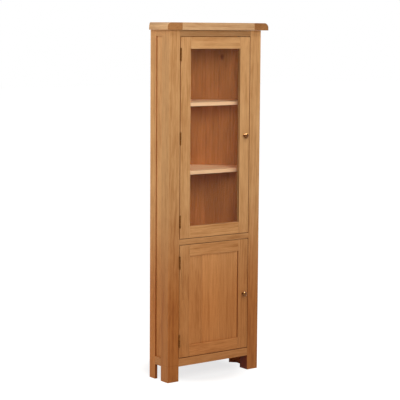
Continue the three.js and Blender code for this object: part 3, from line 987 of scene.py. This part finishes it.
def turned(name, centre, steps):
    """A round piece that stands out along -Y from centre. Each step is a radius and a distance."""
    x, y, z = centre
    radius, distance = steps[0]
    bpy.ops.object.select_all(action="DESELECT")
    bpy.ops.mesh.primitive_circle_add(
        vertices=KNOB_SIDES,
        radius=radius,
        fill_type="NGON",
        location=(x, y - distance, z),
        rotation=(math.radians(90), 0, 0),
    )
    piece = bpy.context.object
    piece.name = name
    bpy.ops.object.transform_apply(location=True, rotation=True, scale=True)
    bpy.ops.object.mode_set(mode="EDIT")
    bpy.ops.mesh.select_all(action="SELECT")
    for next_radius, next_distance in steps[1:]:
        step = (0, distance - next_distance, 0)
        bpy.ops.mesh.extrude_region_move(TRANSFORM_OT_translate={"value": step})
        size = next_radius / radius
        bpy.ops.transform.resize(value=(size, 1, size), center_override=(x, y - next_distance, z))
        radius, distance = next_radius, next_distance
    bpy.ops.mesh.select_all(action="SELECT")
    bpy.ops.mesh.normals_make_consistent(inside=False)
    bpy.ops.object.mode_set(mode="OBJECT")
    return piece


def knob_steps():
    steps = BASE_STEPS + NECK_STEPS
    first = -math.acos(HEAD_START_RADIUS / HEAD_RADIUS)
    last = math.radians(HEAD_LAST_DEGREES)
    for i in range(HEAD_STEPS + 1):
        angle = first + (last - first) * i / HEAD_STEPS
        distance = HEAD_DISTANCE + HEAD_HALF_LENGTH * math.sin(angle)
        steps.append((HEAD_RADIUS * math.cos(angle), distance))
    return steps


for door in ("upper", "lower"):
    low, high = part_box(f"{door}_knob")
    x, _, z = middle_of(low, high)
    knob = turned(f"{door}_turned_knob", (x, high.y, z), knob_steps())
    knob.data.materials.append(metals["aged_brass"])
    smooth(knob, degrees=35)
    stand_in(knob, f"{door}_knob")
    lit_by_gleam_lamp.objects.link(knob)
    print(knob.name, "has", len(knob.data.polygons), "faces")

# %% [markdown]
# ## A screw head
#
# Small countersunk screws hold the hinge leaves and the strike plates. They only show when a door
# is open, but an open hinge without them would look glued on. One head is modelled, a flat disc
# with an eased rim and a slot cut by a bar. A thread would cost many faces and stay hidden in the
# wood.

# %% Model one screw head
SCREW_SIDES, SCREW_RADIUS, SCREW_PROUD, SCREW_SUNK = 32, 0.003, 0.00025, 0.0004
SCREW_EASE, SLOT_SIZE = 0.00012, (0.0048, 0.0007, 0.0005)


def cut_away(piece, cutter):
    """Cuts one piece out of another, and removes the cutter."""
    only(piece)
    hollow = piece.modifiers.new("cut", "BOOLEAN")
    hollow.operation = "DIFFERENCE"
    hollow.object = cutter
    bpy.ops.object.modifier_apply(modifier=hollow.name)
    bpy.data.objects.remove(cutter)


bpy.ops.object.select_all(action="DESELECT")
bpy.ops.mesh.primitive_cylinder_add(
    vertices=SCREW_SIDES,
    radius=SCREW_RADIUS,
    depth=SCREW_PROUD + SCREW_SUNK,
    location=(0, 0, (SCREW_PROUD - SCREW_SUNK) / 2),
)
screw_pattern = bpy.context.object
screw_pattern.name = "screw_pattern"
bpy.ops.object.transform_apply(location=True, rotation=True, scale=True)
for edge in screw_pattern.data.edges:
    edge.select = all(screw_pattern.data.vertices[i].co.z > 0 for i in edge.vertices)
bpy.ops.object.mode_set(mode="EDIT")
bpy.ops.mesh.select_mode(type="EDGE")
bpy.ops.mesh.bevel(offset=SCREW_EASE, segments=2, affect="EDGES")
bpy.ops.object.mode_set(mode="OBJECT")
cut_away(screw_pattern, block("slot_bar", (0, 0, SCREW_PROUD), SLOT_SIZE))
print("screw head has", len(screw_pattern.data.polygons), "faces")

# %% [markdown]
# ## Copies of a small piece
#
# A screw is aimed out of the metal it holds, and every one is turned to its own angle, because
# nobody lines up screw slots. Each copy has a mesh of its own, moved to its place, and rides on the
# body it is fixed to. Copies that share one mesh would save memory, but 34 small heads don't need
# that.

# %% Helpers for placing copies
def copy_of_pattern(pattern, name, placing, body, finish):
    piece = bpy.data.objects.new(name, pattern.data.copy())
    scene.collection.objects.link(piece)
    piece.data.transform(placing)
    piece.data.materials.append(metals[finish])
    smooth(piece, degrees=30)
    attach(piece, body)


def screw(name, place, way, body, finish):
    """Sets a screw head at a place, standing proud along `way`, such as "+x"."""
    outwards = Vector((0, 0, 0))
    outwards[AXIS[way[1]]] = float(way[0] + "1")
    aimed = outwards.to_track_quat("Z", "Y").to_matrix().to_4x4()
    own_angle = Matrix.Rotation(random.uniform(0, math.pi), 4, "Z")
    placing = Matrix.Translation(place) @ aimed @ own_angle
    copy_of_pattern(screw_pattern, name, placing, body, finish)


print("a screw stands proud by", SCREW_PROUD, "metres")

# %% [markdown]
# ## Hinges
#
# Three hinges carry the tall door and two the short one. Each has a leaf on the post, a leaf on the
# door and a pin through their knuckles. The solids are right as they are, and modelling them again
# could spoil the fit of their knuckles. Their round parts are smoothed, the pins' heads are eased
# so that they catch a line of light, and each leaf gets three screws.

# %% Finish the hinges
PIN_EASE = 0.0003
# How far forward of the leaf's back edge, and how far up from its middle, each screw sits.
LEAF_SCREWS = ((0.012, -0.021), (0.006, 0.0), (0.012, 0.021))


def metal_copy(node, finish, ease=0.0, degrees=35):
    piece = copy_of_node(node, node + "_metal")
    if ease:
        ease_edges(piece, ease, segments=2, shortest=0.0)
    piece.data.materials.append(metals[finish])
    smooth(piece, degrees)
    stand_in(piece, node)


def leaf_screws(leaf, face_x, way):
    low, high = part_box(leaf)
    middle_z = middle_of(low, high)[2]
    for i, (forward, up) in enumerate(LEAF_SCREWS):
        place = (face_x, high.y - forward, middle_z + up)
        screw(f"{leaf}_screw_{i + 1}", place, way, body_of_node(leaf), "bronze")


post_face_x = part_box("front_left_post")[1].x
stile_face_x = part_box("upper_door_left_stile")[0].x
hinges = [f"upper_hinge_{i}" for i in (1, 2, 3)] + [f"lower_hinge_{i}" for i in (1, 2)]
for hinge in hinges:
    metal_copy(f"{hinge}_case_leaf", "bronze")
    metal_copy(f"{hinge}_door_leaf", "bronze")
    metal_copy(f"{hinge}_pin", "bronze", PIN_EASE)
    leaf_screws(f"{hinge}_case_leaf", post_face_x, "+x")
    leaf_screws(f"{hinge}_door_leaf", stile_face_x, "-x")
print("hinges finished:", len(hinges))

# %% [markdown]
# ## Catches
#
# A magnetic catch holds each door shut: a brown plastic case with two steel bars on the carcass,
# and a thin steel plate on the door. The case gets rounded corners. The bars could be painted on
# it, but would then have no edges to catch the light, so they are made once as a thin block with
# eased corners, and copied.

# %% Finish the catches
BAR_SIZE, BAR_EASE = (0.032, 0.0003, 0.0016), 0.0001
BAR_RISES = (-0.003, 0.003)
CASE_EASE, PLATE_EASE, ROUND_DEGREES = 0.001, 0.0003, 50
STRIKE_SCREWS = (-0.012, 0.012)

bar_pattern = block("bar_pattern", (0, 0, 0), BAR_SIZE)
bpy.ops.object.mode_set(mode="EDIT")
bpy.ops.mesh.select_all(action="SELECT")
bpy.ops.mesh.bevel(offset=BAR_EASE, segments=2, affect="EDGES")
bpy.ops.object.mode_set(mode="OBJECT")

for door in ("upper", "lower"):
    catch, strike = f"{door}_catch", f"{door}_strike"
    metal_copy(catch, "dark_plastic", CASE_EASE, ROUND_DEGREES)
    metal_copy(strike, "steel", PLATE_EASE, ROUND_DEGREES)
    case_low, case_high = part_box(catch)
    plate_low, plate_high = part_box(strike)
    bar_x, bar_y = middle_of(case_low, case_high)[0], case_low.y - BAR_SIZE[1] / 2
    plate_x, _, plate_z = middle_of(plate_low, plate_high)
    for i, up in enumerate(BAR_RISES):
        placing = Matrix.Translation((bar_x, bar_y, plate_z + up))
        copy_of_pattern(bar_pattern, f"{catch}_bar_{i + 1}", placing, body_of_node(catch), "steel")
    for i, sideways in enumerate(STRIKE_SCREWS):
        place = (plate_x + sideways, plate_high.y, plate_z)
        screw(f"{strike}_screw_{i + 1}", place, "+y", body_of_node(strike), "steel")
for pattern in (screw_pattern, bar_pattern):
    bpy.data.objects.remove(pattern)
print("catches finished")
